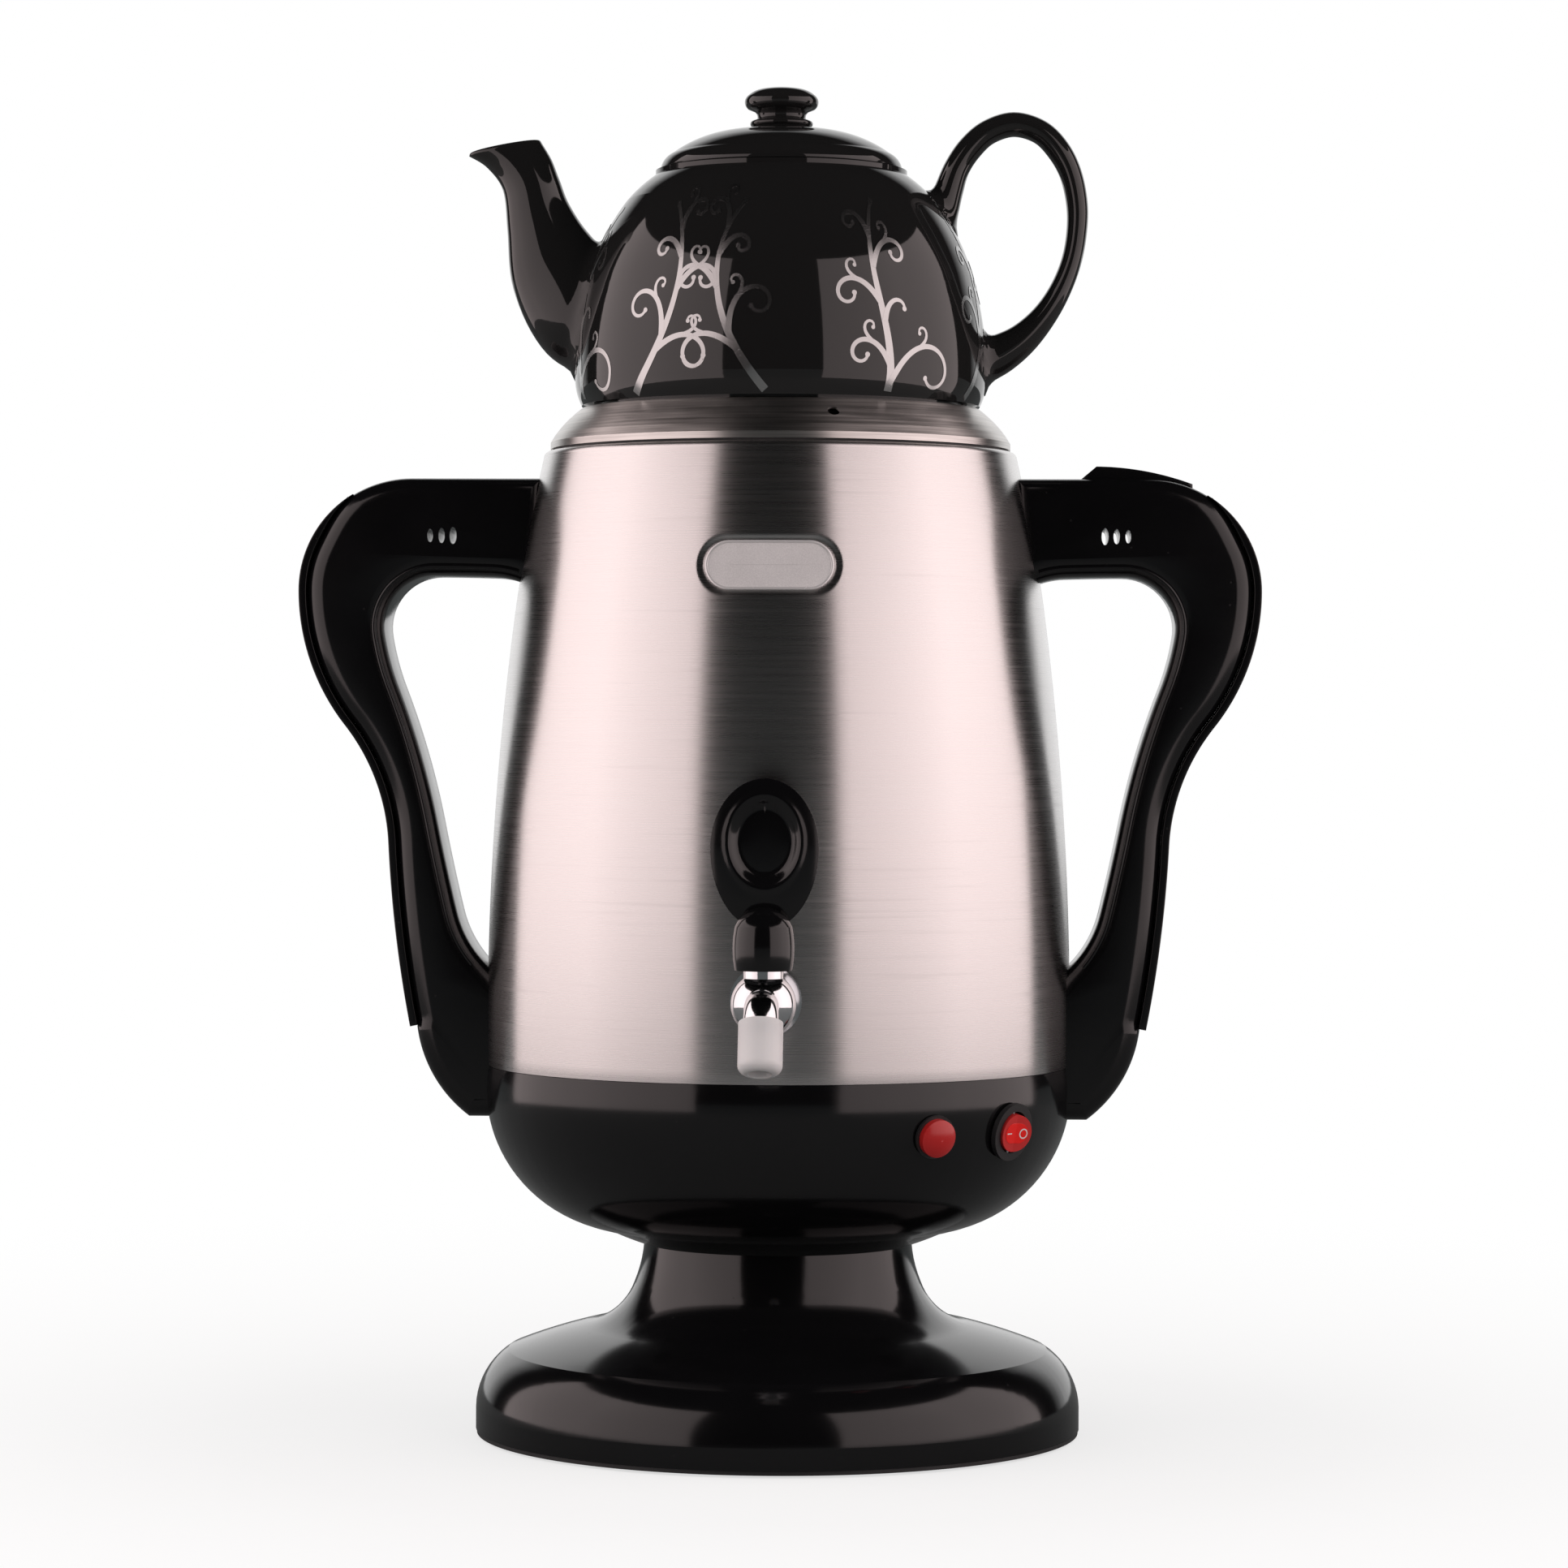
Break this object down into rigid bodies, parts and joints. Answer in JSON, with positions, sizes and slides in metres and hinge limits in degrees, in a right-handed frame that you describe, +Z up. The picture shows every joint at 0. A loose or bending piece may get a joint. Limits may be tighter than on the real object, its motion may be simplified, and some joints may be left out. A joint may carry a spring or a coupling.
{
  "type": "electric samovar with teapot",
  "caption": "Electric samovar: black pedestal and bowl, brushed steel tank, looped side handles, front tap with thumb lever, and a black ceramic teapot seated on its lid.",
  "frame": {"origin": "on the vertical axis at the plane the feet stand on", "axes": "+Z up, front with the tap towards -Y, teapot spout towards -X, handles towards -X and +X"},
  "size_m": [0.3768, 0.2927, 0.53],
  "materials": {
    "aluminium_plate": "turned",
    "black_glaze": "black glazed ceramic with light silver scroll vines",
    "black_plastic": "gloss black moulding",
    "brass_contacts": "bare",
    "brushed_steel": "brushed round the axis",
    "element_sheath": "dull sheath",
    "grey_steel": "plain",
    "polished_chrome": "polished",
    "red_lens": "clear red moulding",
    "red_rocker": "clear red moulding",
    "rubber_dark": "matt",
    "silicone_clear": "milky silicone",
    "wire_insulation": "white insulation"
  },
  "bodies": {
    "samovar": {"badge_plate": "brushed_steel", "base_plate": "black_plastic", "base_screws": "grey_steel", "bowl_housing": "black_plastic", "button_pin": "grey_steel", "button_spring": "grey_steel", "handle_left": "black_plastic", "handle_left_cover": "black_plastic", "handle_right": "black_plastic", "handle_right_cover": "black_plastic", "handle_screws": "grey_steel", "heat_shield": "brushed_steel", "heating_element": "element_sheath", "heating_plate": "aluminium_plate", "inlet_blades": "brass_contacts", "inner_tank": "brushed_steel", "lamp_holder": "black_plastic", "lamp_lens": "red_lens", "lever_pin": "polished_chrome", "outer_shell": "brushed_steel", "pedestal_shell": "black_plastic", "power_inlet": "black_plastic", "rubber_feet": "rubber_dark", "switch_housing": "black_plastic", "switch_pin": "grey_steel", "switch_terminals": "brass_contacts", "tank_gasket": "rubber_dark", "tap_body": "polished_chrome", "tap_bonnet": "black_plastic", "tap_escutcheon": "polished_chrome", "tap_inner_washer": "rubber_dark", "tap_nozzle": "silicone_clear", "tap_nut": "polished_chrome", "tap_sleeve": "rubber_dark", "tap_washer": "rubber_dark", "thermal_cutout": "black_plastic", "thermostat": "black_plastic", "tie_nut": "grey_steel", "tie_rod": "grey_steel", "valve_spring": "grey_steel", "wiring": "wire_insulation"},
    "lid": {"lid_cover": "brushed_steel", "lid_skirt": "brushed_steel", "lid_seal": "rubber_dark"},
    "teapot": {"teapot_body": "black_glaze", "teapot_spout": "black_glaze", "teapot_handle": "black_glaze"},
    "teapot_cover": {"teapot_lid": "black_glaze"},
    "lever": {"tap_lever": "black_plastic"},
    "valve": {"valve_stem": "grey_steel", "seat_cup": "rubber_dark"},
    "rocker": {"switch_rocker": "red_rocker"},
    "button": {"thumb_button": "black_plastic"}
  },
  "joints": [
    {"name": "lid_lift", "type": "slide", "parent": "samovar", "child": "lid", "axis": [0, 0, 1], "range_m": [0, 0.12]},
    {"name": "teapot_lift", "type": "slide", "parent": "lid", "child": "teapot", "axis": [0, 0, 1], "range_m": [0, 0.12]},
    {"name": "teapot_cover_lift", "type": "slide", "parent": "teapot", "child": "teapot_cover", "axis": [0, 0, 1], "range_m": [0, 0.06]},
    {"name": "tap_lever_tilt", "type": "hinge", "parent": "samovar", "child": "lever", "pos_m": [0, -0.1335, 0.1973], "axis": [1, 0, 0], "range_deg": [-15, 0], "stiffness_Nm_per_rad": 0.6, "springref_deg": 8.59},
    {"name": "valve_lift", "type": "slide", "parent": "samovar", "child": "valve", "axis": [0, 0, 1], "range_m": [0, 0.0018], "deforming": ["valve_spring"]},
    {"name": "switch_rock", "type": "hinge", "parent": "samovar", "child": "rocker", "pos_m": [0.09054, -0.06947, 0.12496], "axis": [0.1572, -0.1206, 0.9802], "range_deg": [0, 22]},
    {"name": "thumb_button_press", "type": "hinge", "parent": "samovar", "child": "button", "pos_m": [0.1565, 0, 0.37], "axis": [0, 1, 0], "range_deg": [-4, 0], "stiffness_Nm_per_rad": 0.5, "springref_deg": 5.73, "deforming": ["button_spring"]}
  ],
  "couplings": [
    {"joint": "valve_lift", "follows": "tap_lever_tilt", "m_per_rad": -0.00642}
  ]
}
